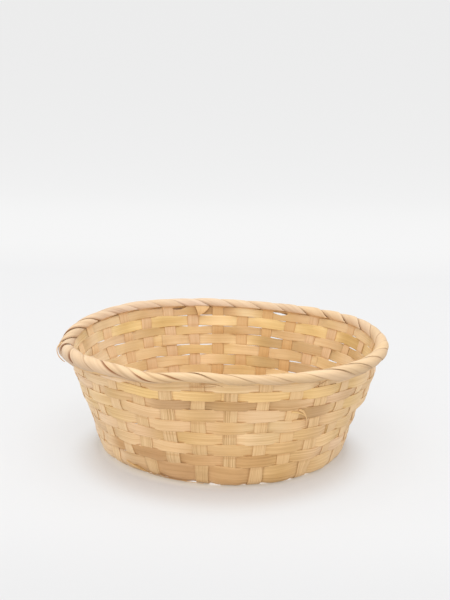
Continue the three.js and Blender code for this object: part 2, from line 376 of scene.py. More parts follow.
# Painted light, where the sides of the wall and the back and left end of the rim are lit brighter: angle,
# strength and spread
PAINTED_LIGHT = ((188, 1.15, 43), (5, 0.40, 34), (330, 0.50, 22))
RIM_PAINTED_LIGHT = ((100, 1.0, 60), (188, 0.6, 30))

# Bamboo by use: depth and fineness of the fibres, range that makes a line, bump and roughness
BAMBOO = {
    "stake": (0.44, 1600, (0.36, 0.52), 0.5, 0.58),
    "weaver": (0.20, 1200, (0.30, 0.62), 0.4, 0.52),
    "hoop": (0.15, 900, (0.30, 0.62), 0.4, 0.6),
    "loose": (0.20, 1200, (0.30, 0.62), 0.4, 0.55),
}
BAMBOO_SHINE = 0.35
BAMBOO_RELIEF = 0.1 * MM
NOISE_ROUGHNESS = 0.6

# Streaks in the bamboo: how many to a metre along and across a strip, their detail and their strength
FINE_ALONG, FINE_DETAIL = 18, 3
BROAD_ALONG, BROAD_ACROSS, BROAD_DETAIL = 14, 320, 2
HAIR_ALONG, HAIR_COARSER, HAIR_DETAIL = 9, 0.6, 1
LINE_LIGHT = 0.03
HAIR_RANGE = (0.64, 0.72)
HAIR_DEPTH = 0.8
BROAD_RANGE = (0.30, 0.70)
BROAD_TONES = (0.93, 1.05)
BROWNING = {"X": 0.76, "Y": 1.1, "Z": 1.6}

# Camera, as fitted to the photograph's view
PHOTO_HEIGHT = 600
SENSOR = 36
FOCAL_PIXELS = 917.9
CAMERA_DISTANCE = 596.6 * MM
CAMERA_HEIGHT = 224.2 * MM
CAMERA_SIDE = 0.3 * MM
CAMERA_PITCH = math.radians(11.93)
CAMERA_ROLL = math.radians(1.06)
CAMERA_TURN = math.radians(2.7)
CAMERA_NEAR = 10 * MM

# Floor, a hair below the strips so that their faces never coincide, and its sweep up to a backdrop
FLOOR_DROP = 0.05 * MM
SWEEP_HALF_WIDTH = 4.0
SWEEP_FRONT = -4.0
SWEEP_START = 1.6
SWEEP_BEND = 1.0
SWEEP_TOP = 3.0
SWEEP_STEPS = 24
PAPER_ROUGHNESS = 0.9
PAPER_SHINE = 0.1

# Glow that the camera sees on the floor: painted light that lightens the basket's shadow round its centre,
# and an even white far off; each ramp's start and end, and its values there
SHADE_CENTRE = (0.0, -0.018, 0.0)
SHADE_SCALE = (1.02, 1.0, 1.0)
SHADE_RAMP = (0.078, 0.106, 0.14, 0.70)
OUTSIDE_RAMP = (0.076, 0.087, 0, 1)
FAR_RAMP = (0.15, 0.9, 0, 1)
FAR_STRENGTH = (1.0, 2.6, 0.92, 0.84)
NEAR_STRENGTH = (-0.22, -0.12, 0.85, 0.92)

# Painted warm light on the floor along the foot, seen by the camera alone
FOOT_GLOW = (1.0, 0.85, 0.67)
FOOT_GLOW_RISE = (70 * MM, 77 * MM, 0, 1)
FOOT_GLOW_FADE = (77 * MM, 89 * MM, 1, 0)
FOOT_GLOW_SIDES = (-0.06, 0.06, 0.48, 0.38)

# Light: strength of the surround, size of the lamps, and each lamp's name, watts, place and aim
SURROUND = 0.92
LAMP_SIZE = 1.8
LAMPS = (
    ("overhead", 13.0, (0.0, -0.15, 1.8), (0.0, 0.0, 0.0)),
    ("front", 7.0, (-0.3, -1.7, 1.1), (0.0, 0.0, 0.05)),
)


def smoothstep(value):
    """0 below 0, 1 above 1 and a smooth rise between."""
    t = np.clip(value, 0.0, 1.0)
    return t * t * (3 - 2 * t)


def bell(value):
    """1 at 0, falling smoothly to 0 on both sides."""
    return np.exp(-(value**2))


class Drift:
    """A smooth random drift: a sum of waves, each given by its greatest height and its rate."""

    def __init__(self, rng, waves):
        self.waves = []
        for height, rate in waves:
            height = height * rng.uniform(*WAVE_HEIGHTS)
            self.waves.append((height, rate, rng.uniform(0, 2 * math.pi)))

    def __call__(self, place):
        return sum(height * np.sin(rate * place + start) for height, rate, start in self.waves)


def wobble(rng, size, wavelength):
    """A drift along a strip."""
    return Drift(rng, [(size / share, 2 * math.pi * share / wavelength) for share in WAVE_SHARES])


def round_drift(purpose, size):
    """A drift round the basket, the same after a whole turn."""
    rng = random.Random(f"{SEED} {purpose}")
    return Drift(rng, [(size / (1 + order / ORDER_FADE), order) for order in WAVE_ORDERS])


def polar(centre, reach, around):
    """Radius and height at a reach from a centre, in a direction up from outward."""
    return centre[0] + reach * np.cos(around), centre[1] + reach * np.sin(around)


class Form:
    """The section that the stakes follow: floor, foot bend, straight wall and rim roll."""

    def __init__(self, sizes):
        self.sizes = sizes
        self.floor_level = sizes.stake_thickness / 2
        self.upper_level = self.floor_level + sizes.stake_thickness + CLEARANCE
        self.roll_radius = sizes.hoop_radius + CLEARANCE + sizes.stake_thickness / 2
        self.foot_centre = np.array([sizes.foot_radius, self.floor_level + sizes.foot_bend])
        self.roll_centre = np.array([sizes.rim_radius, sizes.rim_height])
        to_roll = self.roll_centre - self.foot_centre
        reach = math.hypot(*to_roll)
        both = sizes.foot_bend + self.roll_radius
        self.lean = math.atan2(to_roll[0], to_roll[1]) - math.asin(both / reach)
        wall_length = math.sqrt(reach**2 - both**2)
        self.up = np.array([math.sin(self.lean), math.cos(self.lean)])
        wall_foot = self.foot_centre[0] + sizes.foot_bend * math.cos(self.lean)
        self.tail_start = wall_length - TAIL_LEAD
        self.tail_radius = wall_foot + self.tail_start * self.up[0]
        self.tail_leave = TAIL_LEAD + (math.pi - self.lean - TAIL_LEAVES) * self.roll_radius

    def wall_skin(self, heights, lifts):
        """Radius and height on the wall, or on the foot bend below it, with a lift outward."""
        around = np.minimum(heights, 0) / self.sizes.foot_bend - self.lean
        radius, height = polar(self.foot_centre, self.sizes.foot_bend + lifts, around)
        above = np.maximum(heights, 0)
        return radius + above * self.up[0], height + above * self.up[1]

    def hoop_skin(self, heights, lifts):
        """Radius and height round the roll, from its outermost line upward, with a lift off it."""
        return polar(self.roll_centre, self.roll_radius + lifts, heights / self.roll_radius)

    def roll_skin(self, distances, lifts):
        """Radius and height along a stake's end, up the wall and over the roll, with a lift off it."""
        on_roll = np.clip(distances, TAIL_LEAD, self.tail_leave)
        around = math.pi - self.lean - (on_roll - TAIL_LEAD) / self.roll_radius
        radius, height = polar(self.roll_centre, self.roll_radius + lifts, around)
        past = distances - on_roll
        return radius + past * np.sin(around), height - past * np.cos(around)

    def tail_edges(self, height):
        """Left and right edges of a stake end in its flat layout, from the stake's middle line."""
        width = self.sizes.stake_width
        turned = math.pi / 2 - TAIL_SLOPE
        pivot = TAIL_TURN + width / 2
        edges = []
        for turn_radius in (TAIL_TURN + width, TAIL_TURN):
            top = turn_radius * math.sin(turned)
            if height < top:
                edges.append(pivot - math.sqrt(turn_radius**2 - height**2))
            else:
                start = pivot - turn_radius * math.cos(turned)
                edges.append(start + (height - top) / math.tan(TAIL_SLOPE))
        return edges

    def rows(self):
        """Width and middle height up the wall of each row, from the foot up."""
        sizes = self.sizes
        split = [sizes.weaver_width] * ROWS
        split[NARROW_ROW - 1] = sizes.narrow_width
        split[ROWS - 1] = sizes.top_width
        filled = sum(split) + (ROWS + 1) * sizes.row_gap
        trim = (self.tail_start - filled) / ROWS
        height = sizes.row_gap
        rows = []
        for width in split:
            rows.append((width + trim, height + (width + trim) / 2))
            height += width + trim + sizes.row_gap
        return rows


# Once round a strip's section: across from -1 to 1, and side from 1 outside to -1 inside
FACE = np.linspace(-1 + EDGE_ROUNDING, 1 - EDGE_ROUNDING, FACE_POINTS)
ACROSS = np.concatenate([FACE, [1.0], FACE[::-1], [-1.0]])
SIDE = np.concatenate([np.ones(FACE_POINTS), [0.0], -np.ones(FACE_POINTS), [0.0]])
CUT_EDGE = SIDE[:, None] == 0
INNER_FACE = SIDE[:, None] < 0
FACE_GRAIN = np.where(INNER_FACE, INNER_GRAIN, 1)


def cut_edges(tint):
    """A colour round a strip's section, browner on the cut edges."""
    return np.where(CUT_EDGE, tint * EDGE_TINT, tint)


def degrees_off(turn, degrees):
    """How far a turn about the axis is from an angle, in degrees from -180 to 180."""
    return (np.degrees(turn) - degrees + 180) % 360 - 180


def local(turn, places):
    """A sum of local rises round the basket, each given by its angle, height and spread."""
    total = 0.0
    for degrees, height, spread in places:
        total = total + height * bell(degrees_off(turn, degrees) / spread)
    return total


def blended(parts):
    """The mean of some values by their weights."""
    total, whole = 0.0, TINY
    for weight, value in parts:
        total = total + weight * value
        whole = whole + weight
    return total / whole


def eased(turn, places):
    """A value that is given at some angles round the basket, eased between them."""
    return blended((bell(degrees_off(turn, degrees) / EASE_SPREAD), value) for degrees, value in places)


ROW_SWELLS = [round_drift(f"swell {number}", SWELL) for number in range(ROWS)]


def swell(turn, height):
    """How far the rows stand out or in, each by its own amount round the basket."""
    parts = []
    for number, drift in enumerate(ROW_SWELLS):
        middle = SWELL_PITCH * (number + SWELL_FIRST)
        parts.append((bell((height - middle) / SWELL_REACH), drift(turn)))
    ends = smoothstep(height / SWELL_PITCH) * smoothstep((SWELL_TOP - height) / SWELL_PITCH)
    return blended(parts) * ends


def settled(points):
    """The finished place of a point: the form that the basket has taken by hand and use."""
    height = points[:, 2]
    turn = np.arctan2(points[:, 1], points[:, 0])
    radius = np.hypot(points[:, 0], points[:, 1])
    share = np.clip(height / LIFT_HEIGHT, 0, None) ** LIFT_POWER
    bulge = local(turn, BULGES) * smoothstep((height - BULGE_FROM) / BULGE_RISE)
    bulge = bulge * smoothstep((BULGE_TO - height) / BULGE_FALL)
    flare = FOOT_FLARE - local(turn, FOOT_TUCKS)
    flare = flare * smoothstep((radius - FLARE_FROM) / FLARE_RISE) * np.exp(-height / FLARE_HEIGHT)
    outward = bulge + flare + swell(turn, height)
    moved = points.copy()
    moved[:, 2] += (eased(turn, RIM_LIFTS) + local(turn, RIM_DIPS)) * share
    moved[:, :2] *= (1 + outward / np.maximum(radius, MM))[:, None]
    return moved


def strip_object(name, rings, uvs, colours, material):
    """A closed strip from its rings of points, with flat-strip coordinates and colours."""
    rings, uvs, colours = np.array(rings), np.array(uvs), np.array(colours)
    count, around = rings.shape[:2]
    faces = []
    for a in range(0, (count - 1) * around, around):
        b = a + around
        for j in range(around):
            k = (j + 1) % around
            faces.append((a + j, b + j, b + k, a + k))
    faces.append(tuple(range(around)))
    faces.append(tuple(reversed(range(b, b + around))))
    mesh = bpy.data.meshes.new(name)
    mesh.from_pydata(settled(rings.reshape(-1, 3)).tolist(), [], faces)
    corners = np.empty(len(mesh.loops), dtype=np.int32)
    mesh.loops.foreach_get("vertex_index", corners)
    layer = mesh.uv_layers.new(name="strip")
    layer.data.foreach_set("uv", uvs.reshape(-1, 2)[corners].astype(np.float32).ravel())
    tint = mesh.attributes.new("strip_colour", "FLOAT_COLOR", "POINT")
    tint.data.foreach_set("color", colours.astype(np.float32).ravel())
    mesh.validate()
    mesh.shade_smooth()
    mesh.materials.append(material)
    piece = bpy.data.objects.new(name, mesh)
    bpy.context.scene.collection.objects.link(piece)
    return piece


def face_outward(piece):
    """Turns a piece's faces outward."""
    solid = bmesh.new()
    solid.from_mesh(piece.data)
    if solid.calc_volume(signed=True) < 0:
        piece.data.flip_normals()
    solid.free()


def around_axis(radius, height, turn):
    """Points at a radius and a height, turned about the basket's axis."""
    return np.stack(np.broadcast_arrays(radius * np.cos(turn), radius * np.sin(turn), height), axis=-1)


def own_names(group):
    """Names of the properties that a group defines."""
    return [name for name in group.bl_rna.properties.keys() if name not in {"rna_type", "name"}]


def palette(colours):
    """The colours by name, for calculation."""
    return {name: np.array(getattr(colours, name)) for name in own_names(colours)}


def with_painted_light(tint, turn, pale, places=PAINTED_LIGHT):
    """A colour drawn towards a paler one as painted light, on the sides that are lit brighter."""
    for place in places:
        tint = tint + (pale - tint) * local(turn, [place])
    return tint


def design(scene):
    """The form and the colours that the panel sets."""
    return Form(scene.basket_sizes), palette(scene.basket_colours)


class Maker:
    """What the makers of strips share."""

    def __init__(self, form, tints):
        self.form = form
        self.sizes = form.sizes
        self.palette = tints
        self.rows = form.rows()


class StakeMaker(Maker):
    """Builds the long strips, half by half."""

    def mat_level(self, index, x):
        """Height of a strip's middle in the base, over and under the strips it crosses."""
        flat = self.sizes.stake_width / 2 + FLAT_MARGIN
        levels = (self.form.floor_level, self.form.upper_level)

        def level(crossing):
            return levels[(index + crossing) % 2 if crossing < HALF_MAT else 0]

        crossing = math.floor(x / MAT_PITCH)
        middle = (crossing + 0.5) * MAT_PITCH
        beyond = abs(x - middle) - flat
        if beyond <= 0:
            return level(crossing)
        other = crossing + (1 if x > middle else -1)
        share = 0.5 * smoothstep(beyond / (MAT_PITCH / 2 - flat))
        return level(crossing) * (1 - share) + level(other) * share

    def faces(self, stake, rng):
        """A stake's colours round its section: outer face, inner face and cut edges."""
        shade = SHADED_STAKES.get(stake, 1) + rng.uniform(*STAKE_SHADES)
        warmth = rng.uniform(*STAKE_WARMTHS)
        outer = self.palette["pale"] * shade * np.array([1 + warmth / 2, 1, 1 - warmth])
        mix = smoothstep((rng.uniform(*INNER_MIXES) - INNER_MIX_FROM) / INNER_MIX_RISE)
        rosy, golden, cream = (self.palette[name] for name in ("rosy", "golden", "cream"))
        inner = rosy + (golden - rosy) * mix
        turn = (stake + 0.5) * STAKE_STEP
        # Painted light draws both faces towards cream on the sides that are lit brighter
        return cut_edges(np.where(INNER_FACE, with_painted_light(inner, turn, cream), with_painted_light(outer, turn, cream)))

    def half(self, index, stake, rng):
        """Rings, flat coordinates and colours from the base's middle to the rim."""
        sizes, form = self.sizes, self.form
        offset = (index + 0.5 - HALF_MAT) * MAT_PITCH
        turn = (index + 0.5 - HALF_MAT) * STAKE_STEP
        broad = rng.uniform(*STAKE_WIDTHS)
        width_drift = wobble(rng, *STAKE_WIDTH_DRIFT)
        side_drift = wobble(rng, *STAKE_SIDE_DRIFT)
        fibre = LINED_STAKES.get(stake, rng.uniform(*STAKE_FIBRES))
        faces = self.faces(stake, rng)
        rings, coords, colours = [], [], []
        lift = SIDE * sizes.stake_skin / 2
        sunk = (sizes.stake_thickness - sizes.stake_skin) / 2

        def reach(u, wider=0.0):
            return ACROSS * (sizes.stake_width / 2 * (1 + width_drift(u) + wider))

        def add(points, u, tint, grain=1.0):
            rings.append(points)
            v = ACROSS * sizes.stake_width / 2
            coords.append(np.stack([np.broadcast_to(u, v.shape), v], axis=-1))
            colours.append(np.hstack([np.broadcast_to(tint, points.shape), FACE_GRAIN * fibre * grain]))

        # Base mat
        mat_half = HALF_MAT * MAT_PITCH
        for x in np.linspace(0, mat_half, int(mat_half / STEP) + 1):
            level = self.mat_level(index, x) - sunk
            add(np.stack([0 * ACROSS + x, offset + reach(x), level - lift], axis=-1), x, faces)

        # Fan from the mat to the foot
        start = np.array([mat_half, offset])
        outward = np.array([math.cos(turn), math.sin(turn)])
        end = sizes.foot_radius * outward
        span = math.hypot(*(end - start))
        leave = np.array([span, 0.0])
        arrive = span * outward
        for t in np.linspace(0, 1, FAN_STEPS)[1:-1]:
            point = (2 * t**3 - 3 * t**2 + 1) * start + (3 * t**2 - 2 * t**3) * end
            point = point + (t**3 - 2 * t**2 + t) * leave + (t**3 - t**2) * arrive
            heading = 6 * (t**2 - t) * (start - end)
            heading = heading + (3 * t**2 - 4 * t + 1) * leave + (3 * t**2 - 2 * t) * arrive
            heading = heading / math.hypot(*heading)
            u = mat_half + t * span
            x = point[0] - heading[1] * reach(u)
            y = point[1] + heading[0] * reach(u)
            add(np.stack([x, y, form.floor_level - sunk - lift], axis=-1), u, faces)

        # Foot bend and wall
        u = mat_half + span
        bend = (math.pi / 2 - form.lean) * sizes.foot_bend
        for s in np.linspace(-bend, form.tail_start, int((form.tail_start + bend) / STEP) + 1):
            settle = smoothstep(s / STAKE_EASE) * smoothstep((form.tail_start - s) / STAKE_EASE)
            sway = STAKE_LIFT * self.sway(s, stake) * settle + sunk * smoothstep(-s / bend)
            radius, height = form.wall_skin(s, lift + sway + CROWN * (1 - ACROSS**2) * settle)
            spread = (reach(u + s, broad * settle) + settle * side_drift(s)) / radius.mean()
            # The stake's colour carries painted shade at the edges between rows
            add(around_axis(radius, height, turn + spread), u + bend + s, faces * self.painted_crease_shade(s))
        self.tail(stake, turn, u + bend + form.tail_start, faces, rng, add)
        return np.array(rings), np.array(coords), np.array(colours)

    def sway(self, s, stake):
        """How a stake gives way to the weavers, from -1 inward to 1 outward."""
        total = 0.0
        for number, (width, middle) in enumerate(self.rows, start=1):
            near = bell((s - middle) / (STAKE_LIFT_REACH * width))
            total += -near if (stake + number) % 2 == 1 else near
        return total

    def painted_crease_shade(self, s):
        """Painted shade that darkens a stake's colour at the edges between the rows."""
        dark = sum(bell((s - middle + width / 2) / CREASE_REACH) for width, middle in self.rows[1:])
        return 1 - dark * CREASE_SHADE

    def tail(self, stake, turn, u, faces, rng, add):
        """The stake's end: it turns aside, goes over the hoop and is tucked under the roll."""
        form, sizes = self.form, self.sizes
        left_drift = wobble(rng, *TAIL_EDGE_DRIFT)
        right_drift = wobble(rng, *TAIL_EDGE_DRIFT)
        bulge = rng.uniform(*TAIL_BULGES)
        shingle = OPENED_TAILS.get(stake, rng.uniform(*TAIL_SHINGLES))
        lifted_end = LIFTED_ENDS.get(stake, 0.0)
        share = (ACROSS + 1) / 2
        cleft = self.splits(stake, share, rng)
        stray = TAIL_STRAY * rng.uniform(-1, 1)
        bevel = rng.uniform(*TAIL_BEVELS)
        finish = form.tail_leave + TAIL_TUCK + rng.uniform(*TAIL_LENGTHS)
        warmth = rng.uniform(-1, 1)
        # Painted light draws the rim towards its lit colour at the back and the left end
        tint = with_painted_light(self.palette["rim"], (stake + 1) * STAKE_STEP, self.palette["blush"], RIM_PAINTED_LIGHT)
        tint = tint * (1 + rng.uniform(*TAIL_SHADES)) * (1 + TAIL_WARMTH * warmth)
        turn_top = (TAIL_TURN + sizes.stake_width) * math.cos(TAIL_SLOPE)
        roll_top = TAIL_LEAD + (math.pi / 2 - form.lean) * form.roll_radius
        seam = self.seam(stake, finish)
        last_middle = 0.0
        for y in np.arange(TAIL_STEP, finish, TAIL_STEP):
            folded = smoothstep((y - FOLD_FROM) / FOLD_RISE)
            full = smoothstep(y / turn_top)
            ending = smoothstep((y - finish) / END_REACH + 1)
            left, right = form.tail_edges(y)
            # The fold carries the sloping edge straight down to the roll's lower edge
            sloping = form.tail_edges(turn_top)[0] - (turn_top - y) / math.tan(TAIL_SLOPE)
            left += folded * (min(left, sloping) - left + left_drift(y) + stray + TAIL_SHIFT - TAIL_OVERLAP)
            right += full * (right_drift(y) + stray + TAIL_SHIFT)
            x = left + (right - left) * share
            middle = (left + right) / 2
            u += math.hypot(middle - last_middle, TAIL_STEP)
            last_middle = middle
            proud = bulge * 4 * share * (1 - share) + shingle * (1 - 2 * share)
            proud = proud * (1 - END_FLATTENED * ending)
            proud = proud + TAIL_INWARD * (1 - smoothstep((y - turn_top / 2) / turn_top))
            proud = proud + lifted_end * ending - TAIL_GROOVE * cleft * full
            thin = (1 - END_THINNED * ending) * (1 - TAIL_THINNED * full)
            lift = folded * proud - SIDE * sizes.stake_skin / 2 * thin
            lift = lift - ROLL_PULL * smoothstep((y - turn_top) / (form.tail_leave - turn_top))
            slim = folded * eased((stake + 0.5) * STAKE_STEP + middle / form.tail_radius, RIM_SLIMS)
            radius, height = form.roll_skin(y + bevel * ending * (1 - 2 * share), lift - slim)
            points = around_axis(radius, height + slim, turn + x / form.tail_radius)
            # Painted highlight over the top of the roll, and painted shade down its lower side
            paled = ROLL_HIGHLIGHT * bell((y - roll_top) / ROLL_HIGHLIGHT_REACH)
            skin = tint + (self.palette["cream"] - tint) * paled
            skin = skin * (1 - ROLL_SHADE * smoothstep((y - roll_top) / roll_top))
            # Painted shadow in the seam under the next end's edge, and painted shade in the splits
            dark = seam(y) * smoothstep((share - SEAM_FROM) / (SEAM_FULL - SEAM_FROM))
            shade = folded * np.clip(dark + GROOVE_SHADE * cleft, 0, SEAM_MOST)[:, None]
            rolled = cut_edges(skin) * (1 - shade * SEAM_SHADE)
            heading = math.pi / 2 + (TAIL_SLOPE - math.pi / 2) * folded
            along = u + (x - middle) * math.cos(heading)
            add(points, along, faces * (1 - folded) + rolled * folded, 1 - ROLL_CALM * folded)

    def splits(self, stake, share, rng):
        """How deep the splits along a stake's end are, at each share of its width."""
        deep = DEEP_SPLITS.get(stake, PLAIN_SPLIT)
        total = 0.0
        for count in range(TAIL_GROOVES):
            place = rng.uniform(*GROOVE_PLACES)
            size = deep * rng.uniform(*GROOVE_DEPTHS)
            total = total + size * bell((share - place) / GROOVE_WIDTH)
        return total

    def seam(self, stake, finish):
        """How deep the painted shadow in the seam beside a stake's end is, by the distance along that end.
        """
        rng = random.Random(f"{SEED} seam {stake}")
        depth = DARK_SEAMS.get(stake, rng.uniform(*SEAM_DEPTHS))
        middle = finish * rng.uniform(*SEAM_PLACES)
        reach = finish * rng.uniform(*SEAM_REACHES)
        return lambda y: SEAM_LEAST + depth * bell((y - middle) / reach)

    def strip(self, index, heading, name, rng, material):
        """A whole strip: two halves that meet in the base."""
        first = index - HALF_MAT + round(heading / STAKE_STEP)
        near = self.half(index, first % STAKES, rng)
        second = MAT_STRIPS - 1 - index - HALF_MAT + round((heading + math.pi) / STAKE_STEP)
        far = self.half(MAT_STRIPS - 1 - index, second % STAKES, rng)
        turned = []
        for rings, angle in ((near[0], heading), (far[0], heading + math.pi)):
            c, s = math.cos(angle), math.sin(angle)
            spin = np.array([[c, s, 0], [-s, c, 0], [0, 0, 1]])
            turned.append(rings @ spin)
        # Walking the far half backwards swaps its edges, so its rings are read the other way across
        back = np.roll(np.arange(len(ACROSS))[::-1], FACE_POINTS)
        rings = np.concatenate([turned[1][::-1][:-1, back], turned[0]])
        shift = np.array([rng.uniform(*GRAIN_SHIFTS), rng.uniform(*GRAIN_SHIFTS)])
        uvs = np.concatenate([-far[1][::-1][:-1, back], near[1]]) + shift
        colours = np.concatenate([far[2][::-1][:-1, back], near[2]])
        piece = strip_object(name, rings, uvs, colours, material)
        face_outward(piece)
        return piece


class WeaverMaker(Maker):
    """Builds the rows that go round the wall."""

    def __init__(self, form, tints):
        super().__init__(form, tints)
        self.tints = [tints["straw"]] * ROWS
        self.tints[NARROW_ROW - 1] = (tints["straw"] + tints["toasted"]) / 2
        self.tints[YELLOW_ROW - 1] = tints["honey"]
        self.edges = [round_drift(f"edge {number}", ROW_STRAY) for number in range(ROWS + 1)]
        self.slits = [round_drift(f"slit {number}", SLIT) for number in range(ROWS + 1)]

    def edge(self, number, turn):
        """Rise of the edge between two rows, as the weaver beat them up more or less."""
        rise = local(turn, ROW_RISES) if 0 < number < ROWS - 1 else 0.0
        return self.edges[number](turn) + rise

    def slit(self, number, turn):
        """Width of the slit at the edge between two rows, where there is one."""
        return max(0, self.slits[number](turn))

    def lift(self, turn, number):
        """Smooth lift of a row off the wall's middle: out over one stake, in behind the next."""
        wave = np.cos(math.pi * (turn / STAKE_STEP - 0.5) + math.pi * (number + 1))
        square = np.tanh(WEAVE_SQUARENESS * wave) / math.tanh(WEAVE_SQUARENESS)
        return WEAVE_LIFT * square

    def patched(self, tint, turn, number):
        """A row's colour at a place, with the patches that differ, among them painted light and painted
        shade on the row under the rim.
        """
        for middle, half, name, strength in PATCHES.get(number, ()):
            away = abs(degrees_off(turn, middle))
            inside = smoothstep((half + PATCH_EDGE - away) / (2 * PATCH_EDGE))
            tint = tint + (self.palette[name] - tint) * strength * inside
        return tint

    def row(self, number, name, rng, material):
        """One row, from its start behind a stake round to the lap over that start."""
        form, sizes = self.form, self.sizes
        lowest, highest = number == 1, number == ROWS
        width, middle = self.rows[number - 1]
        radius = float(form.wall_skin(middle, 0.0)[0])
        start = LAP_SPREAD * number + ((LAP_SPREAD + 1) * number) % 2
        first = (start + 0.5 - LAP) * STAKE_STEP
        last = (start + 0.5 + STAKES + LAP * LAP_END) * STAKE_STEP
        lap_from = (start + STAKES) * STAKE_STEP
        width_drift = wobble(rng, *ROW_WIDTH_DRIFT)
        tilt_drift = wobble(rng, *ROW_TILT_DRIFT)
        tone_drift = wobble(rng, *ROW_TONE_DRIFT)
        warm_drift = wobble(rng, *ROW_WARM_DRIFT)
        shift = np.array([rng.uniform(*GRAIN_SHIFTS), rng.uniform(*GRAIN_SHIFTS)])
        hem_drift = wobble(rng, *HEM_DRIFT)
        gap_rng = random.Random(f"{SEED} gap {number}")
        gap_range = FOOT_GAP_RANGE if lowest else GAP_RANGE
        gaps = [max(0, gap_rng.uniform(*gap_range)) for side in range(2 * STAKES)]
        rings, coords, colours = [], [], []
        for turn in np.linspace(first, last, int((last - first) * radius / STEP)):
            d = turn * radius
            lapped = smoothstep((turn - lap_from) / (LAP_RISE * STAKE_STEP) + 0.5)
            lift = self.lift(turn, number) - lapped * (sizes.weaver_skin + LAP_SPACE)
            # Rows are packed tight on the front and looser at the back, where slits open here and there
            back = (1 + math.sin(turn)) / 2
            outer = (width + sizes.row_gap) / 2 + ROW_CLOSE - ROW_LOOSE * back
            low = middle - outer + self.edge(number - 1, turn) + width_drift(d)
            low += back * self.slit(number - 1, turn)
            high = middle + outer + self.edge(number, turn) + width_drift(-d)
            high -= back * self.slit(number, turn)
            if lowest:
                low += hem_drift(d) * (1 - BACK_HEM_CALM * back) - FOOT_REACH * (1 + BACK_HEM * back)
            if highest:
                high += RIM_REACH + BACK_REACH * back + eased(turn, RIM_SLIMS) - local(turn, RIM_GAPS)
            heights = (low + high) / 2 + ACROSS * (high - low) / 2
            side = SIDE * sizes.weaver_skin / 2 + CROWN * (1 - ACROSS**2)
            side = side + lift + tilt_drift(d) * ACROSS
            rings.append(around_axis(*form.wall_skin(heights, side), turn))
            coords.append(np.stack([0 * ACROSS + d, ACROSS * width / 2], axis=-1) + shift)
            # Painted light draws the row towards cream on the sides that are lit brighter
            tone = with_painted_light(self.tints[number - 1], turn, self.palette["cream"])
            tone = self.patched(tone, turn, number)
            tone = tone * (1 + TONE_SPREAD * tone_drift(d) - WARM_SPREAD * warm_drift(d))
            tone = cut_edges(np.where(INNER_FACE, tone * INNER_TINT, tone))
            # Where the row goes behind a stake, painted shade darkens the row here and there beside it
            nearest = round(turn / STAKE_STEP - 0.5)
            aside = (turn / STAKE_STEP - 0.5 - nearest) * STAKE_STEP * radius
            gap = gaps[(2 * nearest + (aside > 0)) % len(gaps)]
            gap *= bell((abs(aside) - sizes.stake_width / 2) / GAP_REACH)
            hidden = (SIDE * np.sign(lift) < 0)[:, None]
            colours.append(np.hstack([tone * (1 - hidden * gap * GAP_SHADE), FACE_GRAIN]))
        piece = strip_object(name, rings, coords, colours, material)
        face_outward(piece)
        return piece


class Shading:
    """A material that is built up node by node."""

    def __init__(self, name, roughness, shine):
        self.material = bpy.data.materials.new(name)
        self.material.use_nodes = True
        self.tree = self.material.node_tree
        self.surface = self.tree.nodes["Principled BSDF"]
        self.feed(self.surface, {"Roughness": roughness, "Specular IOR Level": shine})

    def feed(self, node, inputs):
        """Sets a node's inputs, or links them where another node's output is given."""
        for key, value in inputs.items():
            if isinstance(value, bpy.types.NodeSocket):
                self.tree.links.new(value, node.inputs[key])
            else:
                node.inputs[key].default_value = value

    def add(self, kind, inputs, **settings):
        """A new node with its settings and inputs."""
        node = self.tree.nodes.new(kind)
        for key, value in settings.items():
            setattr(node, key, value)
        self.feed(node, inputs)
        return node

    def maths(self, operation, *values):
        """A calculation with numbers."""
        return self.add("ShaderNodeMath", dict(enumerate(values)), operation=operation).outputs["Value"]

    def vectors(self, operation, result, *values):
        """A calculation with vectors, whose result is a Vector or a Value."""
        node = self.add("ShaderNodeVectorMath", dict(enumerate(values)), operation=operation)
        return node.outputs[result]

    def ramp(self, value, start, end, low, high, curve="LINEAR"):
        """A value brought from one range to another, and held beyond its ends."""
        limits = {"Value": value, "From Min": start, "From Max": end, "To Min": low, "To Max": high}
        return self.add("ShaderNodeMapRange", limits, interpolation_type=curve).outputs["Result"]


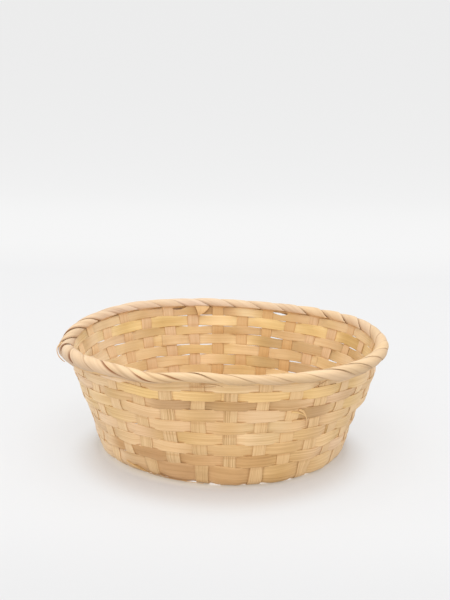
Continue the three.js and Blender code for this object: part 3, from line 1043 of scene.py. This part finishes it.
def bamboo_material(kind):
    """Raw split bamboo: the strip's own colour, broken by fine fibres along its length."""
    fibre, fineness, line_range, bump, roughness = BAMBOO[kind]
    bamboo = Shading(f"{kind} bamboo", roughness, BAMBOO_SHINE)
    tint = bamboo.add("ShaderNodeAttribute", {}, attribute_name="strip_colour").outputs
    uv = bamboo.add("ShaderNodeUVMap", {}, uv_map="strip").outputs["UV"]

    def streaks(along, across, detail):
        place = bamboo.add("ShaderNodeMapping", {"Vector": uv, "Scale": (along, across, 1)})
        noise = {"Scale": 1.0, "Detail": detail, "Roughness": NOISE_ROUGHNESS}
        noise["Vector"] = place.outputs["Vector"]
        return bamboo.add("ShaderNodeTexNoise", noise).outputs["Fac"]

    fine = streaks(FINE_ALONG, fineness, FINE_DETAIL)
    broad = streaks(BROAD_ALONG, BROAD_ACROSS, BROAD_DETAIL)
    hairs = streaks(HAIR_ALONG, HAIR_COARSER * fineness, HAIR_DETAIL)
    soft_lines = bamboo.ramp(fine, *line_range, -fibre, LINE_LIGHT)
    dark_hairs = bamboo.ramp(hairs, *HAIR_RANGE, 0.0, -HAIR_DEPTH * fibre)
    lines = bamboo.maths("ADD", soft_lines, dark_hairs)
    patches = bamboo.ramp(broad, *BROAD_RANGE, *BROAD_TONES)
    tone = bamboo.maths("MULTIPLY_ADD", lines, tint["Alpha"], patches)
    # Darker fibres are browner as well
    browned = {channel: bamboo.maths("POWER", tone, power) for channel, power in BROWNING.items()}
    browner = bamboo.add("ShaderNodeCombineXYZ", browned).outputs["Vector"]
    shade = bamboo.vectors("MULTIPLY", "Vector", tint["Color"], browner)
    relief = bamboo.add("ShaderNodeBump", {"Strength": bump, "Distance": BAMBOO_RELIEF, "Height": fine})
    bamboo.feed(bamboo.surface, {"Base Color": shade, "Normal": relief.outputs["Normal"]})
    return bamboo.material


def dress(piece, node):
    """Puts a finished piece in place of its solid."""
    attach(piece, "root")
    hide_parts(node)


class BASKET_OT_stakes(bpy.types.Operator):
    """Lay the long strips of the base, wall and rim"""

    bl_idname = "basket.stakes"
    bl_label = "Stakes"

    def execute(self, context):
        maker = StakeMaker(*design(context.scene))
        material = bamboo_material("stake")
        for way, heading in (("x", 0.0), ("y", math.pi / 2)):
            for index in range(MAT_STRIPS):
                name = f"stake_{way}_{index + 1}"
                rng = random.Random(f"{SEED} {name}")
                piece = maker.strip(index, heading, name + "_strip", rng, material)
                dress(piece, name)
        return {"FINISHED"}


class BASKET_OT_weavers(bpy.types.Operator):
    """Weave the rows round the wall"""

    bl_idname = "basket.weavers"
    bl_label = "Weavers"

    def execute(self, context):
        maker = WeaverMaker(*design(context.scene))
        material = bamboo_material("weaver")
        for number in range(1, ROWS + 1):
            name = f"weaver_row_{number}"
            piece = maker.row(number, name + "_strip", random.Random(f"{SEED} {name}"), material)
            dress(piece, name)
        return {"FINISHED"}


class BASKET_OT_hoop(bpy.types.Operator):
    """Bend the hoop inside the rim roll"""

    bl_idname = "basket.hoop"
    bl_label = "Hoop"

    def execute(self, context):
        form, tints = design(context.scene)
        drift = wobble(random.Random(f"{SEED} hoop"), *HOOP_DRIFT)
        around = np.linspace(0, 2 * math.pi, HOOP_SIDES, endpoint=False)
        rings, coords = [], []
        for turn in np.linspace(0, 2 * math.pi, HOOP_STEPS, endpoint=False):
            u = turn * form.sizes.rim_radius
            slim = eased(turn, RIM_SLIMS)
            section = form.sizes.hoop_radius - HOOP_SLACK - slim + drift(u)
            r, z = polar(form.roll_centre, section, around)
            rings.append(around_axis(r, z + slim, turn))
            coords.append(np.stack([0 * around + u, around * section], axis=-1))
        # The first section again closes the ring
        rings.append(rings[0])
        coords.append(coords[0])
        tint = np.append(tints["straw"] * HOOP_SHADE, 1.0)
        colours = np.broadcast_to(tint, (len(rings), HOOP_SIDES, 4))
        piece = strip_object("rim_hoop_rod", rings, coords, colours, bamboo_material("hoop"))
        dress(piece, "rim_hoop")
        return {"FINISHED"}


class BASKET_OT_loose_ends(bpy.types.Operator):
    """Add the few ends and splinters that have come loose"""

    bl_idname = "basket.loose_ends"
    bl_label = "Loose ends"

    def execute(self, context):
        form, tints = design(context.scene)
        material = bamboo_material("loose")
        for name, bed, *route, width, tint in SLIVERS:
            piece = self.sliver(form, name, bed, route, width * MM, tints[tint], material)
            face_outward(piece)
            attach(piece, "root")
        return {"FINISHED"}

    def sliver(self, form, name, bed, route, width, tint, material):
        """A thin strip that tapers to a point along a bent route on the wall or on the roll."""
        start, bend, end = (np.array(point) for point in route)
        skin = {"wall": form.wall_skin, "roll": form.hoop_skin}[bed]
        around = float(skin(bend[1] * MM, 0.0)[0])
        scale = np.array([math.radians(1) * around, MM, MM])
        shade = np.hstack([cut_edges(tint), np.ones((len(ACROSS), 1))])
        rings, coords = [], []
        for t in np.linspace(0, SLIVER_END, SLIVER_STEPS):
            x, up, off = scale * ((1 - t) ** 2 * start + 2 * t * (1 - t) * bend + t**2 * end)
            heading = scale * ((1 - t) * (bend - start) + t * (end - bend))
            heading = heading[:2] / math.hypot(*heading[:2])
            reach = ACROSS * width / 2 * (1 - t**SLIVER_TAPER)
            lift = off + SIDE * SLIVER_THICKNESS / 2
            radius, height = skin(up + heading[0] * reach, lift)
            rings.append(around_axis(radius, height, (x - heading[1] * reach) / around))
            coords.append(np.stack([0 * ACROSS + t * SLIVER_GRAIN, reach], axis=-1))
        return strip_object(name, rings, coords, [shade] * SLIVER_STEPS, material)


class BASKET_OT_stage(bpy.types.Operator):
    """Set the floor, the light and the camera"""

    bl_idname = "basket.stage"
    bl_label = "Studio"

    def execute(self, context):
        self.floor(context)
        self.light(context)
        self.camera(context)
        context.scene.view_settings.view_transform = "Standard"
        return {"FINISHED"}

    def floor(self, context):
        """A floor that sweeps up into a backdrop."""
        profile = [(SWEEP_FRONT, -FLOOR_DROP), (SWEEP_START, -FLOOR_DROP)]
        for t in np.linspace(0, math.pi / 2, SWEEP_STEPS)[1:]:
            profile.append((SWEEP_START + SWEEP_BEND * math.sin(t), SWEEP_BEND - SWEEP_BEND * math.cos(t)))
        profile.append((SWEEP_START + SWEEP_BEND, SWEEP_TOP))
        verts = [(x, y, z) for y, z in profile for x in (-SWEEP_HALF_WIDTH, SWEEP_HALF_WIDTH)]
        faces = [(2 * i, 2 * i + 1, 2 * i + 3, 2 * i + 2) for i in range(len(profile) - 1)]
        mesh = bpy.data.meshes.new("studio_floor")
        mesh.from_pydata(verts, [], faces)
        mesh.shade_smooth()
        mesh.materials.append(self.paper(context.scene.basket_colours.floor))
        floor = bpy.data.objects.new("studio_floor", mesh)
        context.scene.collection.objects.link(floor)
        floor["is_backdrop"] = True

    def paper(self, tint):
        """Paper that the camera sees near-white far off, as it is lit near by with painted light that
        lightens the basket's shadow, and with painted warm light along the foot.
        """
        paper = Shading("studio paper", PAPER_ROUGHNESS, PAPER_SHINE)
        paper.feed(paper.surface, {"Base Color": (*tint, 1)})
        position = paper.add("ShaderNodeNewGeometry", {}).outputs["Position"]
        place = paper.add("ShaderNodeSeparateXYZ", {"Vector": position}).outputs

        def ramp(value, limits):
            return paper.ramp(value, *limits, curve="SMOOTHSTEP")

        stretched = paper.vectors("MULTIPLY", "Vector", position, SHADE_SCALE)
        away = paper.vectors("DISTANCE", "Value", stretched, SHADE_CENTRE)
        radius = paper.vectors("LENGTH", "Value", position)
        # Painted light: near the basket the camera sees a glow that lightens the floor's shadow, and a warm
        # glow along the foot
        outside = paper.maths("MULTIPLY", ramp(away, SHADE_RAMP), ramp(radius, OUTSIDE_RAMP))
        painted_foot_light = paper.maths("MULTIPLY", ramp(radius, FOOT_GLOW_RISE), ramp(radius, FOOT_GLOW_FADE))
        along_foot = paper.maths("MULTIPLY", painted_foot_light, ramp(place["X"], FOOT_GLOW_SIDES))
        near = paper.maths("MAXIMUM", outside, along_foot)
        share = paper.maths("MAXIMUM", near, ramp(place["Y"], FAR_RAMP))
        camera_ray = paper.add("ShaderNodeLightPath", {}).outputs["Is Camera Ray"]
        seen = paper.maths("MULTIPLY", camera_ray, share)
        strength = paper.maths("MINIMUM", ramp(place["Y"], FAR_STRENGTH), ramp(place["Y"], NEAR_STRENGTH))
        hues = {"Factor": painted_foot_light, "A": (1, 1, 1, 1), "B": (*FOOT_GLOW, 1)}
        hue = paper.add("ShaderNodeMix", hues, data_type="RGBA").outputs["Result"]
        glow = paper.add("ShaderNodeEmission", {"Color": hue, "Strength": strength}).outputs["Emission"]
        both = {"Fac": seen, 1: paper.surface.outputs["BSDF"], 2: glow}
        mixed = paper.add("ShaderNodeMixShader", both).outputs["Shader"]
        paper.feed(paper.tree.nodes["Material Output"], {"Surface": mixed})
        return paper.material

    def light(self, context):
        """A broad lamp overhead, one in front and an even white surround."""
        world = bpy.data.worlds.new("studio surround")
        world.use_nodes = True
        surround = world.node_tree.nodes["Background"]
        surround.inputs["Color"].default_value = (1, 1, 1, 1)
        surround.inputs["Strength"].default_value = SURROUND
        context.scene.world = world
        for name, energy, place, aim in LAMPS:
            data = bpy.data.lights.new(name, "AREA")
            data.shape = "DISK"
            data.size = LAMP_SIZE
            data.energy = energy
            lamp = bpy.data.objects.new(name, data)
            lamp.location = place
            lamp.rotation_euler = (Vector(aim) - Vector(place)).to_track_quat("-Z", "Y").to_euler()
            context.scene.collection.objects.link(lamp)

    def camera(self, context):
        """The photograph's viewpoint."""
        data = bpy.data.cameras.new("photo_camera")
        data.lens = FOCAL_PIXELS / PHOTO_HEIGHT * SENSOR
        data.sensor_width = SENSOR
        data.clip_start = CAMERA_NEAR
        camera = bpy.data.objects.new("photo_camera", data)
        turn = Matrix.Rotation(CAMERA_TURN, 4, "Z")
        place = Matrix.Translation((CAMERA_SIDE, -CAMERA_DISTANCE, CAMERA_HEIGHT))
        pitch = Matrix.Rotation(math.pi / 2 - CAMERA_PITCH, 4, "X")
        roll = Matrix.Rotation(CAMERA_ROLL, 4, "Z")
        camera.matrix_world = turn @ place @ pitch @ roll
        context.scene.collection.objects.link(camera)
        context.scene.camera = camera


class BASKET_PT_panel(bpy.types.Panel):
    """Sizes, colours and steps of the basket"""

    bl_idname = "BASKET_PT_panel"
    bl_label = "Bamboo basket"
    bl_space_type = "VIEW_3D"
    bl_region_type = "UI"
    bl_category = "Basket"

    def draw(self, context):
        layout = self.layout
        for group in (context.scene.basket_sizes, context.scene.basket_colours):
            column = layout.column()
            for name in own_names(group):
                column.prop(group, name)
        for operator in OPERATORS:
            layout.operator(operator.bl_idname)


OPERATORS = (BASKET_OT_stakes, BASKET_OT_weavers, BASKET_OT_hoop, BASKET_OT_loose_ends, BASKET_OT_stage)
CLASSES = (BasketSizes, BasketColours, *OPERATORS, BASKET_PT_panel)


def register():
    for cls in CLASSES:
        bpy.utils.register_class(cls)
    bpy.types.Scene.basket_sizes = bpy.props.PointerProperty(type=BasketSizes)
    bpy.types.Scene.basket_colours = bpy.props.PointerProperty(type=BasketColours)


def unregister():
    del bpy.types.Scene.basket_colours
    del bpy.types.Scene.basket_sizes
    for cls in reversed(CLASSES):
        bpy.utils.unregister_class(cls)


def main():
    register()
    bpy.ops.basket.stakes()
    bpy.ops.basket.weavers()
    bpy.ops.basket.hoop()
    bpy.ops.basket.loose_ends()
    bpy.ops.basket.stage()
    boxes = {"cad": CAD_BOX, "visual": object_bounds()}
    {name: [list(corner) for corner in box] for name, box in boxes.items()}


if __name__ == "__main__":
    main()
